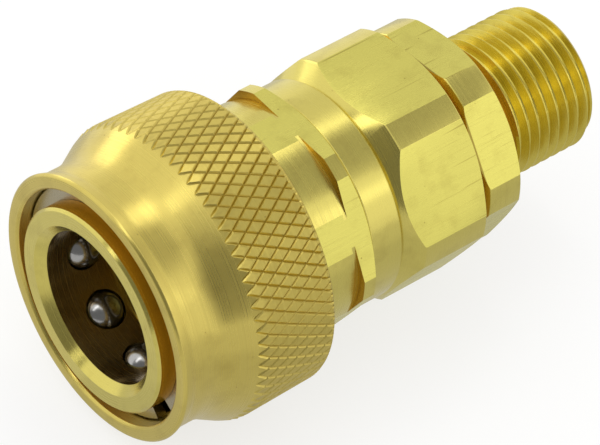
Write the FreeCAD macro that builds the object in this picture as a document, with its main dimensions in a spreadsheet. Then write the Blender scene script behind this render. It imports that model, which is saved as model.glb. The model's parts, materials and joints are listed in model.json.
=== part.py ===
import FreeCAD, Part
import os
import re

import Sketcher

# Brass ball-lock coupling socket: the female half of a quick coupler.
# The axis runs along +X from the mouth to the male thread, and the origin is the
# centre of the mouth. The wrench hexagon has two flats level, facing up and down.

# Driving dimensions in millimetres and degrees
DIMENSIONS = (
    # hexagon bar that every other cross-section follows
    ("hexagon_width", 26.3, "across the flats of the valve body"),
    ("hexagon_corner_cut", 0.814, "turned off the corners of the valve body"),
    ("wrench_step", 0.05, "flats of the wrench collar below those of the valve body"),
    ("wrench_corner_cut", 0.727, "turned off the corners of the wrench collar"),
    # nose and mouth of the socket
    ("guide_land_rise", 0.2, "land that guides the sleeve above the wrench flats"),
    ("nose_step", 1.36, "nose below the guide land"),
    ("nose_wall", 3.0, "wall of the nose around the bore"),
    ("mouth_chamfer", 1.0, "lead-in at the mouth"),
    ("nose_edge", 0.3, "outer edge break of the nose"),
    ("neck_step", 0.44, "nose radius less the neck under the sleeve spring"),
    ("guide_land_length", 6.6, "length of the guide land"),
    ("relief_width", 0.45, "turned groove ahead of the wrench collar"),
    ("relief_rise", 0.1, "groove floor above the wrench flats"),
    ("wrench_collar_length", 2.35, "length of the wrench collar"),
    ("spigot_wall", 2.2, "wall of the screwed spigot around the valve chamber"),
    ("spigot_length", 5.5, "length of that spigot"),
    # locking balls and retaining ring
    ("ball_diameter", 4.76, "three-sixteenths inch ball"),
    ("ball_count", 8, "balls in the row"),
    ("ball_phase", 32.5, "first ball, turned about the axis from +Y"),
    ("ball_lead", 0.17, "ring groove to the nearest ball"),
    ("ball_protrusion", 1.1, "locked ball stands into the bore"),
    ("ball_play", 0.35, "locked ball to the sleeve's land"),
    ("ball_hole_gap", 0.1, "ball to the wall of its hole"),
    ("ball_hole_flare", 12.0, "half angle of the tapered ball hole"),
    ("ball_relief_margin", 0.32, "shallow bore relief past each side of the ball row"),
    ("ball_relief_depth", 0.2, "depth of that relief"),
    ("ring_offset", 2.4, "mouth to the retaining ring"),
    ("ring_thickness", 1.2, "retaining ring along the axis"),
    ("ring_groove_depth", 0.69, "ring groove in the nose"),
    ("ring_clearance", 0.2, "ring to the sleeve around it"),
    ("ring_gap", 16.0, "split of the ring"),
    ("ring_gap_phase", 226.0, "start of the ring, turned about the axis from +Y"),
    # sleeve
    ("nose_proud", 0.6, "nose stands ahead of the sleeve"),
    ("sleeve_overlap", 0.9, "sleeve over the guide land at rest"),
    ("release_clearance", 0.05, "released ball to the sleeve's front relief"),
    ("rim_wall", 1.85, "front rim around the relief"),
    ("rim_edge", 0.3, "edge breaks of the front rim"),
    ("rim_taper_length", 1.7, "front rim down to the band"),
    ("band_step", 0.45, "band below the front rim"),
    ("band_length", 5.16, "front face to the flare"),
    ("flare_length", 4.03, "flare from the band up to the barrel"),
    ("flare_fillet", 4.5, "hollow at the foot of the flare"),
    ("crest_fillet", 3.5, "round at the top of the flare"),
    ("barrel_rise", 1.79, "knurled barrel above the front rim"),
    ("barrel_taper", 0.2, "barrel loses this towards the rear"),
    ("barrel_edge", 0.45, "rear edge break of the barrel"),
    ("stop_height", 0.37, "step that bears on the retaining ring"),
    ("ramp_length", 1.35, "ramp from the step to the locking land"),
    ("land_length", 3.4, "land that holds the balls in"),
    ("flange_length", 1.6, "inner flange between the land and the spring"),
    ("slide_clearance", 0.12, "inner flange over the nose"),
    ("sleeve_clearance", 0.35, "rear bore over the guide land"),
    ("sleeve_spring_length", 8.6, "sleeve spring at rest"),
    ("sleeve_wire", 0.9, "wire of the sleeve spring"),
    ("sleeve_spring_turns", 3.4, "turns of the sleeve spring"),
    # seals of the mouth
    ("seal_land", 0.7, "bore between the ball row and the seal groove"),
    ("shoulder_land", 1.03, "bore between the seal groove and the plug's stop"),
    ("seal_groove_depth", 1.4, "seal groove in the bore"),
    ("seal_section", 1.72, "section of the plug seal"),
    ("backup_width", 1.1, "backing ring along the axis"),
    ("seal_gap", 0.05, "room beside each seal"),
    # valve
    ("chamber_step", 0.74, "valve chamber below the mouth bore"),
    ("seat_height", 1.8, "valve seat below the chamber"),
    ("seat_bore_length", 2.0, "shoulder to the seat cone"),
    ("poppet_gap", 0.2, "closed poppet back from the seat cone"),
    ("poppet_reach", 4.2, "seat to the front of the poppet's stub"),
    ("stub_radius", 3.4, "stub that the plug pushes"),
    ("stub_edge", 0.5, "edge break of the stub"),
    ("head_lead", 0.6, "poppet cone starts ahead of the seat"),
    ("head_clearance", 0.6, "poppet head to the chamber wall"),
    ("head_rim", 2.0, "straight rim of the poppet head"),
    ("pilot_radius", 3.8, "pilot inside the poppet spring"),
    ("pilot_length", 1.5, "length of that pilot"),
    ("stem_radius", 1.9, "poppet stem"),
    ("stem_clearance", 0.08, "stem in its guide"),
    ("stem_overhang", 0.6, "stem past the guide hub"),
    ("poppet_seal_inset", 1.35, "centre line of the poppet seal inside the head"),
    ("poppet_seal_section", 1.4, "section of the poppet seal"),
    ("poppet_spring_radius", 5.0, "centre line of the poppet spring"),
    ("poppet_wire", 0.9, "wire of the poppet spring"),
    ("poppet_spring_turns", 5.0, "turns of the poppet spring"),
    ("guide_thickness", 1.5, "disc of the stem guide"),
    ("guide_hub_radius", 3.1, "hub of the stem guide"),
    ("guide_hub_length", 1.2, "hub behind the disc"),
    ("flow_hole_radius", 1.9, "flow holes through the guide"),
    ("flow_hole_circle", 5.2, "centres of those holes"),
    ("flow_hole_count", 6, "number of those holes"),
    # valve body
    ("collar_step", 0.1, "round collar below the wrench flats"),
    ("collar_edge", 0.25, "front edge break of that collar"),
    ("collar_length", 4.05, "length of that collar"),
    ("vee_width", 0.2, "floor of the groove behind the collar"),
    ("vee_depth", 1.0, "that floor below the collar"),
    ("hexagon_chamfer", 1.6, "front chamfer of the hexagon along the axis"),
    ("hexagon_edge", 0.85, "thirty-degree rear chamfer of the hexagon along the axis"),
    ("valve_body_length", 15.6, "length of the valve body"),
    ("outlet_length", 1.6, "outlet through the valve body"),
    ("body_seal_section", 1.4, "section of the body seal"),
    ("body_seal_offset", 2.2, "joint face to the body seal"),
    ("thread_clearance", 0.1, "screwed spigots in their bores"),
    # male adapter
    ("adapter_spigot_radius", 9.1, "screwed spigot of the adapter"),
    ("washer_thickness", 0.6, "sealing washer ahead of the adapter"),
    ("washer_width", 1.9, "sealing washer from its bore to its rim"),
    ("adapter_width", 24.2, "across the flats of the adapter"),
    ("adapter_corner_cut", 0.902, "turned off the corners of the adapter"),
    ("adapter_turn", -6.1, "adapter flats against the valve body's"),
    ("adapter_hexagon_length", 6.05, "hexagon of the adapter"),
    ("adapter_edge", 0.9, "thirty-degree chamfers of that hexagon along the axis"),
    ("thread_radius", 8.55, "crest radius of the three-eighths pipe thread"),
    ("thread_neck_depth", 0.95, "neck between hexagon and thread, below the crests"),
    ("thread_neck_length", 1.6, "length of that neck"),
    ("shank_length", 14.25, "hexagon to the thread's end"),
    ("thread_chamfer", 0.74, "chamfer at the thread's end"),
    ("thread_pitch", 1.411, "one crest to the next, eighteen to the inch"),
    ("thread_crest", 0.16, "flat of a crest"),
    ("thread_root", 0.22, "flat of a root"),
    ("thread_depth", 0.9, "crest to root"),
    ("flow_radius", 5.4, "bore through the adapter"),
    ("flow_chamfer", 0.5, "edge break of that bore at the thread's end"),
    # common fit
    ("fit_gap", 0.05, "room at faces that meet and move apart"),
)

START, END, CENTRE = range(1, 4)
ORIGIN = HORIZONTAL = -START
VERTICAL = -END
SIDE_COUNT = 6
TURN_ANGLE = 360
ALIAS = re.compile(r"[a-z]+(?:_[a-z]+)+")

document = FreeCAD.newDocument("coupling_socket")
sheet = document.addObject("Spreadsheet::Sheet", "Sizes")
for row, (alias, value, note) in enumerate(DIMENSIONS, start=1):
    sheet.set(f"A{row}", note)
    sheet.set(f"B{row}", str(value))
    sheet.setAlias(f"B{row}", alias)
document.recompute()

# Radii that follow from the driving dimensions
WRENCH = "(hexagon_width - 2 * wrench_step)"
WRENCH_CORNER = f"({WRENCH} / sqrt(3) - wrench_corner_cut)"
HEXAGON_CORNER = "(hexagon_width / sqrt(3) - hexagon_corner_cut)"
GUIDE_LAND = f"({WRENCH} / 2 + guide_land_rise)"
COLLAR = f"({WRENCH} / 2 - collar_step)"
NOSE = f"({GUIDE_LAND} - nose_step)"
BORE = f"({NOSE} - nose_wall)"
CHAMBER = f"({BORE} - chamber_step)"
SEAT_BORE = f"({CHAMBER} - seat_height)"
SPIGOT = f"({CHAMBER} + spigot_wall)"
NECK = f"({NOSE} - neck_step)"
RING_FLOOR = f"({NOSE} - ring_groove_depth)"
BALL = "(ball_diameter / 2)"
BALL_LOCKED = f"({BORE} - ball_protrusion + {BALL})"
RELIEF = f"({BORE} + ball_diameter + release_clearance)"
STOP = f"({RELIEF} - stop_height)"
LAND = f"({BALL_LOCKED} + {BALL} + ball_play)"
FLANGE = f"({NOSE} + slide_clearance)"
REAR_BORE = f"({GUIDE_LAND} + sleeve_clearance)"
RIM = f"({RELIEF} + rim_wall)"
BAND = f"({RIM} - band_step)"
BARREL = f"({RIM} + barrel_rise)"
BARREL_REAR = f"({BARREL} - barrel_taper)"
SEAL_FLOOR = f"({BORE} + seal_groove_depth)"
HEAD = f"({CHAMBER} - head_clearance)"
POPPET_SEAL = f"({HEAD} - poppet_seal_inset)"
GUIDE_RIM = f"({SPIGOT} - thread_clearance)"
SPIGOT_BORE = f"({SPIGOT} + thread_clearance)"
ADAPTER_BORE = "(adapter_spigot_radius + thread_clearance)"
OUTLET = "(adapter_spigot_radius - washer_width)"
BODY_SEAL_FLOOR = f"({SPIGOT_BORE} - body_seal_section - 2 * seal_gap)"
ADAPTER_CORNER = "(adapter_width / sqrt(3) - adapter_corner_cut)"
THREAD_NECK = "(thread_radius - thread_neck_depth)"

# Stations along the axis, from the mouth
SLEEVE_FRONT = "nose_proud"
RING_REAR = "(ring_offset + ring_thickness)"
STOP_FACE = f"({RING_REAR} + fit_gap)"
LAND_FRONT = f"({STOP_FACE} + ramp_length)"
LAND_REAR = f"({LAND_FRONT} + land_length)"
SPRING_FRONT = f"({LAND_REAR} + flange_length)"
SPRING_REAR = f"({SPRING_FRONT} + sleeve_spring_length)"
SLEEVE_REAR = f"({SPRING_REAR} + sleeve_overlap)"
GUIDE_LAND_REAR = f"({SPRING_REAR} + guide_land_length)"
COLLAR_FRONT = f"({GUIDE_LAND_REAR} + relief_width)"
JOINT_FACE = f"({COLLAR_FRONT} + wrench_collar_length)"
SPIGOT_END = f"({JOINT_FACE} + spigot_length)"
BALL_ROW = f"({STOP_FACE} + ball_lead + {BALL})"
RELIEF_FRONT = f"({BALL_ROW} - {BALL} - ball_relief_margin)"
RELIEF_REAR = f"({BALL_ROW} + {BALL} + ball_relief_margin)"
SEAL_FRONT = f"({RELIEF_REAR} + seal_land)"
SEAL_REAR = f"({SEAL_FRONT} + seal_section + backup_width + 3 * seal_gap)"
SOCKET_DEPTH = f"({SEAL_REAR} + shoulder_land)"
SEAT_FRONT = f"({SOCKET_DEPTH} + seat_bore_length)"
SEAT_REAR = f"({SEAT_FRONT} + seat_height)"
HEAD_FRONT = f"({SEAT_FRONT} - head_lead)"
HEAD_EDGE = f"({SEAT_FRONT} + {HEAD} - {SEAT_BORE} + poppet_gap)"
HEAD_REAR = f"({HEAD_EDGE} + head_rim)"
GUIDE_REAR = f"({SPIGOT_END} + guide_thickness)"
HUB_REAR = f"({GUIDE_REAR} + guide_hub_length)"
OUTLET_REAR = f"({GUIDE_REAR} + outlet_length)"
VALVE_BODY_REAR = f"({JOINT_FACE} + valve_body_length)"
ADAPTER_FRONT = f"({OUTLET_REAR} + washer_thickness)"
ADAPTER_REAR = f"({VALVE_BODY_REAR} + adapter_hexagon_length)"
THREAD_END = f"({ADAPTER_REAR} + shank_length)"


def bound(text):
    """Return the expression with each alias read from the sheet."""
    return ALIAS.sub(r"Sizes.\g<0>", text)


def size_of(text):
    """Return the present value of an expression."""
    return float(sheet.evalExpression(bound(text)))


def new_body(label):
    """Add a body under its own label."""
    body = document.addObject("PartDesign::Body", label)
    body.Label = label
    return body


def new_sketch(body, name, role):
    """Add a sketch on one of the body's own origin planes."""
    sketch = body.newObject("Sketcher::SketchObject", name)
    plane = next(item for item in body.Origin.OriginFeatures if item.Role == role)
    sketch.AttachmentSupport = (plane, [""])
    sketch.MapMode = "FlatFace"
    return sketch


def fix_point(sketch, piece, point, along, out):
    """Dimension one point of the sketch from the origin, by expressions."""
    for kind, axis, text in (("DistanceX", VERTICAL, along), ("DistanceY", HORIZONTAL, out)):
        if text == "0":
            sketch.addConstraint(Sketcher.Constraint("PointOnObject", piece, point, axis))
        else:
            rule = Sketcher.Constraint(kind, ORIGIN, START, piece, point, size_of(text))
            index = sketch.addConstraint(rule)
            sketch.setExpression(f"Constraints[{index}]", bound(text))


def draw_outline(sketch, corners):
    """Draw a closed outline whose corners are pairs of expressions."""
    points = [FreeCAD.Vector(size_of(along), size_of(out), 0) for along, out in corners]
    following = points[1:] + points[:1]
    for first, second in zip(points, following):
        sketch.addGeometry(Part.LineSegment(first, second), False)
    for piece in range(len(corners)):
        joined = (piece + 1) % len(corners)
        sketch.addConstraint(Sketcher.Constraint("Coincident", piece, END, joined, START))
    for piece, (along, out) in enumerate(corners):
        fix_point(sketch, piece, START, along, out)


def draw_circle(sketch, along, out, radius):
    """Draw a circle by expressions for its centre and radius."""
    middle = FreeCAD.Vector(size_of(along), size_of(out), 0)
    circle = Part.Circle(middle, FreeCAD.Vector(0, 0, 1), size_of(radius))
    piece = sketch.addGeometry(circle, False)
    fix_point(sketch, piece, CENTRE, along, out)
    index = sketch.addConstraint(Sketcher.Constraint("Radius", piece, size_of(radius)))
    sketch.setExpression(f"Constraints[{index}]", bound(radius))


def turn_sketch(body, kind, sketch, angle=str(TURN_ANGLE)):
    """Turn a sketch about the fitting's axis, adding or cutting."""
    feature = body.newObject(f"PartDesign::{kind}", f"{sketch.Name}_{kind.lower()}")
    feature.Profile = sketch
    feature.ReferenceAxis = (sketch, ["H_Axis"])
    feature.setExpression("Angle", bound(angle))
    return feature


def turn_outline(body, kind, name, corners):
    """Turn a closed outline about the fitting's axis, adding or cutting."""
    sketch = new_sketch(body, f"{body.Name}_{name}", "XY_Plane")
    draw_outline(sketch, corners)
    return turn_sketch(body, kind, sketch)


def hexagon_stock(body, width, front, rear, turn="0"):
    """Pad a hexagon bar along the axis between two stations."""
    sketch = new_sketch(body, f"{body.Name}_stock", "YZ_Plane")
    sketch.setExpression("AttachmentOffset.Base.z", bound(front))
    sketch.setExpression("AttachmentOffset.Rotation.Angle", bound(turn))
    reach = f"{width} / sqrt(3)"
    circle = Part.Circle(FreeCAD.Vector(), FreeCAD.Vector(0, 0, 1), size_of(reach))
    ring = sketch.addGeometry(circle, True)
    sketch.addConstraint(Sketcher.Constraint("Coincident", ring, CENTRE, ORIGIN, START))
    index = sketch.addConstraint(Sketcher.Constraint("Radius", ring, size_of(reach)))
    sketch.setExpression(f"Constraints[{index}]", bound(reach))
    step = TURN_ANGLE / SIDE_COUNT
    spoke = FreeCAD.Vector(size_of(reach), 0, 0)
    axis = FreeCAD.Vector(0, 0, 1)
    corners = [FreeCAD.Rotation(axis, step * k).multVec(spoke) for k in range(SIDE_COUNT)]
    sides = []
    for first, second in zip(corners, corners[1:] + corners[:1]):
        sides.append(sketch.addGeometry(Part.LineSegment(first, second), False))
    for side, after in zip(sides, sides[1:] + sides[:1]):
        sketch.addConstraint(Sketcher.Constraint("Coincident", side, END, after, START))
        sketch.addConstraint(Sketcher.Constraint("PointOnObject", side, START, ring))
    for side in sides[1:]:
        sketch.addConstraint(Sketcher.Constraint("Equal", sides[0], side))
    sketch.addConstraint(Sketcher.Constraint("PointOnObject", sides[0], START, HORIZONTAL))
    pad = body.newObject("PartDesign::Pad", f"{body.Name}_bar")
    pad.Profile = sketch
    pad.setExpression("Length", bound(f"{rear} - {front}"))
    return pad


def round_edge(body, base, name, along, radius, fillet):
    """Round the circular edge found at one station and radius."""
    document.recompute()
    for number, edge in enumerate(base.Shape.Edges, start=1):
        curve = edge.Curve
        if not isinstance(curve, Part.Circle):
            continue
        if abs(curve.Center.x - size_of(along)) > size_of("fit_gap"):
            continue
        if abs(curve.Radius - size_of(radius)) > size_of("fit_gap"):
            continue
        feature = body.newObject("PartDesign::Fillet", name)
        feature.Base = (base, [f"Edge{number}"])
        feature.setExpression("Radius", bound(fillet))
        return feature
    raise RuntimeError(f"no edge for {name}")


def round_ring(label, radius, section, along):
    """Add a ring of round section about the axis."""
    ring = document.addObject("Part::Torus", label)
    ring.Label = label
    ring.setExpression("Radius1", bound(radius))
    ring.setExpression("Radius2", bound(f"{section} / 2"))
    ring.Placement = FreeCAD.Placement(FreeCAD.Vector(), FreeCAD.Rotation(FreeCAD.Vector(0, 1, 0), 90))
    ring.setExpression("Placement.Base.x", bound(along))
    return ring


def flat_ring(label, inner, outer, front, rear):
    """Add a ring of rectangular section about the axis."""
    body = new_body(label)
    corners = ((front, inner), (rear, inner), (rear, outer), (front, outer))
    turn_outline(body, "Revolution", "section", corners)
    return body


def coil_spring(label, wire, radius, front, rear, turns):
    """Wind a round wire about the axis between two seats."""
    body = new_body(label)
    sketch = new_sketch(body, f"{label}_wire", "XY_Plane")
    draw_circle(sketch, f"{front} + {wire} / 2 + fit_gap", radius, f"{wire} / 2")
    coil = body.newObject("PartDesign::AdditiveHelix", f"{label}_coil")
    coil.Profile = sketch
    coil.ReferenceAxis = (sketch, ["H_Axis"])
    coil.Mode = "height-turns-angle"
    coil.setExpression("Height", bound(f"{rear} - {front} - {wire} - 2 * fit_gap"))
    coil.setExpression("Turns", bound(turns))
    return body


def repeat_round(body, feature, sketch, count):
    """Repeat a cut evenly about the fitting's axis."""
    document.recompute()
    whole = body.Shape.Volume
    pattern = body.newObject("PartDesign::PolarPattern", f"{feature.Name}_row")
    pattern.Originals = [feature]
    pattern.Axis = (sketch, ["H_Axis"])
    pattern.Angle = TURN_ANGLE
    pattern.setExpression("Occurrences", bound(count))
    body.Tip = pattern
    document.recompute()
    if body.Shape.Volume >= whole:
        raise RuntimeError(f"{pattern.Name} cuts nothing")
    return pattern


def repeat_along(body, feature, sketch, pitch, count):
    """Repeat a cut along the fitting's axis, towards the mouth."""
    pattern = body.newObject("PartDesign::LinearPattern", f"{feature.Name}_row")
    pattern.Originals = [feature]
    pattern.Direction = (sketch, ["H_Axis"])
    pattern.Reversed = True
    pattern.Mode = "Spacing"
    pattern.setExpression("Offset", bound(pitch))
    pattern.setExpression("Occurrences", bound(count))
    body.Tip = pattern
    return pattern


def socket_body():
    """Nose, ball holes, guide land, wrench collar and rear spigot, from one hexagon bar."""
    body = new_body("socket_body")
    hexagon_stock(body, WRENCH, "0", SPIGOT_END)
    seal = f"({JOINT_FACE} + body_seal_offset)"
    seal_side = "(body_seal_section / 2 + seal_gap)"
    turn_outline(body, "Groove", "outside", (
        ("0", f"{NOSE} - nose_edge"),
        ("nose_edge", NOSE),
        ("ring_offset - fit_gap", NOSE),
        ("ring_offset - fit_gap", RING_FLOOR),
        (STOP_FACE, RING_FLOOR),
        (STOP_FACE, NOSE),
        (SPRING_FRONT, NOSE),
        (SPRING_FRONT, NECK),
        (SPRING_REAR, NECK),
        (SPRING_REAR, GUIDE_LAND),
        (GUIDE_LAND_REAR, GUIDE_LAND),
        (GUIDE_LAND_REAR, f"{WRENCH} / 2 + relief_rise"),
        (COLLAR_FRONT, f"{WRENCH} / 2 + relief_rise"),
        (COLLAR_FRONT, WRENCH_CORNER),
        (f"{JOINT_FACE} - ({WRENCH_CORNER} - {COLLAR}) / sqrt(3)", WRENCH_CORNER),
        (JOINT_FACE, COLLAR),
        (JOINT_FACE, SPIGOT),
        (f"{seal} - {seal_side}", SPIGOT),
        (f"{seal} - {seal_side}", BODY_SEAL_FLOOR),
        (f"{seal} + {seal_side}", BODY_SEAL_FLOOR),
        (f"{seal} + {seal_side}", SPIGOT),
        (SPIGOT_END, SPIGOT),
        (SPIGOT_END, WRENCH),
        ("0", WRENCH),
    ))
    bore = turn_outline(body, "Groove", "inside", (
        ("0", "0"),
        ("0", f"{BORE} + mouth_chamfer"),
        ("mouth_chamfer", BORE),
        (RELIEF_FRONT, BORE),
        (RELIEF_FRONT, f"{BORE} + ball_relief_depth"),
        (RELIEF_REAR, f"{BORE} + ball_relief_depth"),
        (RELIEF_REAR, BORE),
        (SEAL_FRONT, BORE),
        (SEAL_FRONT, SEAL_FLOOR),
        (SEAL_REAR, SEAL_FLOOR),
        (SEAL_REAR, BORE),
        (SOCKET_DEPTH, BORE),
        (SOCKET_DEPTH, SEAT_BORE),
        (SEAT_FRONT, SEAT_BORE),
        (SEAT_REAR, CHAMBER),
        (SPIGOT_END, CHAMBER),
        (SPIGOT_END, "0"),
    ))
    # a tapered hole keeps its ball from falling into the bore
    hole = new_sketch(body, "ball_hole", "XY_Plane")
    hole.AttachmentOffset = FreeCAD.Placement(
        FreeCAD.Vector(), FreeCAD.Rotation(FreeCAD.Vector(1, 0, 0), size_of("ball_phase")))
    hole.setExpression("AttachmentOffset.Base.x", bound(BALL_ROW))
    hole.setExpression("AttachmentOffset.Rotation.Angle", bound("ball_phase"))
    middle = f"({BALL} + ball_hole_gap) / cos(ball_hole_flare * 1 deg)"
    slope = "tan(ball_hole_flare * 1 deg)"
    low = f"({BORE} - nose_wall)"
    high = f"({NOSE} + nose_wall)"
    draw_outline(hole, (
        ("0", low),
        (f"{middle} - ({BALL_LOCKED} - {low}) * {slope}", low),
        (f"{middle} + ({high} - {BALL_LOCKED}) * {slope}", high),
        ("0", high),
    ))
    cut = body.newObject("PartDesign::Groove", "ball_hole_cut")
    cut.Profile = hole
    cut.ReferenceAxis = (hole, ["V_Axis"])
    cut.Angle = TURN_ANGLE
    repeat_round(body, cut, bore.Profile[0], "ball_count")
    return body


def release_sleeve():
    """Pull-back sleeve: front relief, ring stop, locking land, spring flange and barrel."""
    body = new_body("release_sleeve")
    flare = f"({SLEEVE_FRONT} + band_length)"
    crest = f"({flare} + flare_length)"
    turned = turn_outline(body, "Revolution", "section", (
        (SLEEVE_FRONT, f"{RELIEF} + rim_edge"),
        (SLEEVE_FRONT, f"{RIM} - rim_edge"),
        (f"{SLEEVE_FRONT} + rim_edge", RIM),
        (f"{SLEEVE_FRONT} + rim_taper_length", BAND),
        (flare, BAND),
        (crest, BARREL),
        (f"{SLEEVE_REAR} - barrel_edge", BARREL_REAR),
        (SLEEVE_REAR, f"{BARREL_REAR} - barrel_edge"),
        (SLEEVE_REAR, REAR_BORE),
        (SPRING_FRONT, REAR_BORE),
        (SPRING_FRONT, FLANGE),
        (LAND_REAR, FLANGE),
        (LAND_REAR, LAND),
        (LAND_FRONT, LAND),
        (STOP_FACE, STOP),
        (STOP_FACE, RELIEF),
        (f"{SLEEVE_FRONT} + rim_edge", RELIEF),
    ))
    hollow = round_edge(body, turned, "flare_hollow", flare, BAND, "flare_fillet")
    round_edge(body, hollow, "flare_crest", crest, BARREL, "crest_fillet")
    return body


def retaining_ring():
    """Split ring in the nose groove that stops the sleeve."""
    body = new_body("retaining_ring")
    sketch = new_sketch(body, "ring_section", "XY_Plane")
    sketch.AttachmentOffset = FreeCAD.Placement(
        FreeCAD.Vector(), FreeCAD.Rotation(FreeCAD.Vector(1, 0, 0), size_of("ring_gap_phase")))
    sketch.setExpression("AttachmentOffset.Rotation.Angle", bound("ring_gap_phase"))
    inner = f"{RING_FLOOR} + fit_gap"
    outer = f"{RELIEF} - ring_clearance"
    draw_outline(sketch, (
        ("ring_offset", inner), (RING_REAR, inner), (RING_REAR, outer), ("ring_offset", outer)))
    turn_sketch(body, "Revolution", sketch, f"{TURN_ANGLE} - ring_gap")
    return body


def locking_balls():
    """Row of balls, each in its own hole."""
    balls = []
    for number in range(int(size_of("ball_count"))):
        label = f"locking_ball_{number + 1}"
        ball = document.addObject("Part::Sphere", label)
        ball.Label = label
        angle = f"(ball_phase + {number} * {TURN_ANGLE} / ball_count) * 1 deg"
        ball.setExpression("Radius", bound(BALL))
        ball.setExpression("Placement.Base.x", bound(BALL_ROW))
        ball.setExpression("Placement.Base.y", bound(f"{BALL_LOCKED} * cos({angle})"))
        ball.setExpression("Placement.Base.z", bound(f"{BALL_LOCKED} * sin({angle})"))
        balls.append(ball)
    return balls


def mouth_seals():
    """Rubber ring and its backing ring in the groove behind the balls."""
    middle = f"{SEAL_FLOOR} - seal_gap - seal_section / 2"
    seal = round_ring("plug_seal", middle, "seal_section", f"{SEAL_FRONT} + seal_gap + seal_section / 2")
    front = f"({SEAL_FRONT} + seal_section + 2 * seal_gap)"
    inner = f"{BORE} + seal_gap"
    outer = f"{SEAL_FLOOR} - seal_gap"
    return [seal, flat_ring("backup_ring", inner, outer, front, f"{front} + backup_width")]


def poppet_seal_station():
    """Station where the poppet seal just clears the seat cone."""
    stand_off = "(poppet_seal_section / 2 + seal_gap) * sqrt(2)"
    return f"({SEAT_FRONT} + {POPPET_SEAL} - {SEAT_BORE} + {stand_off})"


def valve_poppet():
    """Shut-off poppet: stub, seat cone with its seal groove, spring pilot and stem."""
    body = new_body("valve_poppet")
    tip = f"({SEAT_FRONT} - poppet_reach)"
    pilot_end = f"({HEAD_REAR} + pilot_length)"
    stem_end = f"({HUB_REAR} + stem_overhang)"
    turn_outline(body, "Revolution", "section", (
        (tip, "0"),
        (tip, "stub_radius - stub_edge"),
        (f"{tip} + stub_edge", "stub_radius"),
        (HEAD_FRONT, "stub_radius"),
        (HEAD_FRONT, f"{SEAT_BORE} - head_lead - poppet_gap"),
        (HEAD_EDGE, HEAD),
        (HEAD_REAR, HEAD),
        (HEAD_REAR, "pilot_radius"),
        (pilot_end, "pilot_radius"),
        (pilot_end, "stem_radius"),
        (stem_end, "stem_radius"),
        (stem_end, "0"),
    ))
    groove = new_sketch(body, "poppet_seal_groove", "XY_Plane")
    draw_circle(groove, poppet_seal_station(), POPPET_SEAL, "poppet_seal_section / 2 + seal_gap")
    turn_sketch(body, "Groove", groove)
    return body


def poppet_guide():
    """Disc with a hub for the stem and a ring of flow holes."""
    body = new_body("poppet_guide")
    hole = "(stem_radius + stem_clearance)"
    disc = turn_outline(body, "Revolution", "section", (
        (SPIGOT_END, hole),
        (HUB_REAR, hole),
        (HUB_REAR, "guide_hub_radius"),
        (GUIDE_REAR, "guide_hub_radius"),
        (GUIDE_REAR, GUIDE_RIM),
        (SPIGOT_END, GUIDE_RIM),
    ))
    flow = new_sketch(body, "flow_hole", "YZ_Plane")
    flow.setExpression("AttachmentOffset.Base.z", bound(SPIGOT_END))
    draw_circle(flow, "flow_hole_circle", "0", "flow_hole_radius")
    cut = body.newObject("PartDesign::Pocket", "flow_hole_cut")
    cut.Profile = flow
    cut.Type = "ThroughAll"
    cut.Midplane = True
    repeat_round(body, cut, disc.Profile[0], "flow_hole_count")
    return body


def valve_body():
    """Round collar and wrench hexagon that join the nose to the adapter."""
    body = new_body("valve_body")
    hexagon_stock(body, "hexagon_width", JOINT_FACE, VALVE_BODY_REAR)
    collar_rear = f"({JOINT_FACE} + collar_length)"
    chamfer_front = f"({collar_rear} + vee_width)"
    turn_outline(body, "Groove", "outside", (
        (JOINT_FACE, f"{COLLAR} - collar_edge"),
        (f"{JOINT_FACE} + collar_edge", COLLAR),
        (collar_rear, COLLAR),
        (collar_rear, f"{COLLAR} - vee_depth"),
        (chamfer_front, f"{COLLAR} - vee_depth"),
        (f"{chamfer_front} + hexagon_chamfer", HEXAGON_CORNER),
        (f"{VALVE_BODY_REAR} - hexagon_edge", HEXAGON_CORNER),
        (VALVE_BODY_REAR, f"{HEXAGON_CORNER} - hexagon_edge * sqrt(3)"),
        (VALVE_BODY_REAR, "hexagon_width"),
        (JOINT_FACE, "hexagon_width"),
    ))
    turn_outline(body, "Groove", "inside", (
        (JOINT_FACE, "0"),
        (JOINT_FACE, SPIGOT_BORE),
        (GUIDE_REAR, SPIGOT_BORE),
        (GUIDE_REAR, OUTLET),
        (OUTLET_REAR, OUTLET),
        (OUTLET_REAR, ADAPTER_BORE),
        (VALVE_BODY_REAR, ADAPTER_BORE),
        (VALVE_BODY_REAR, "0"),
    ))
    return body


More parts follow.
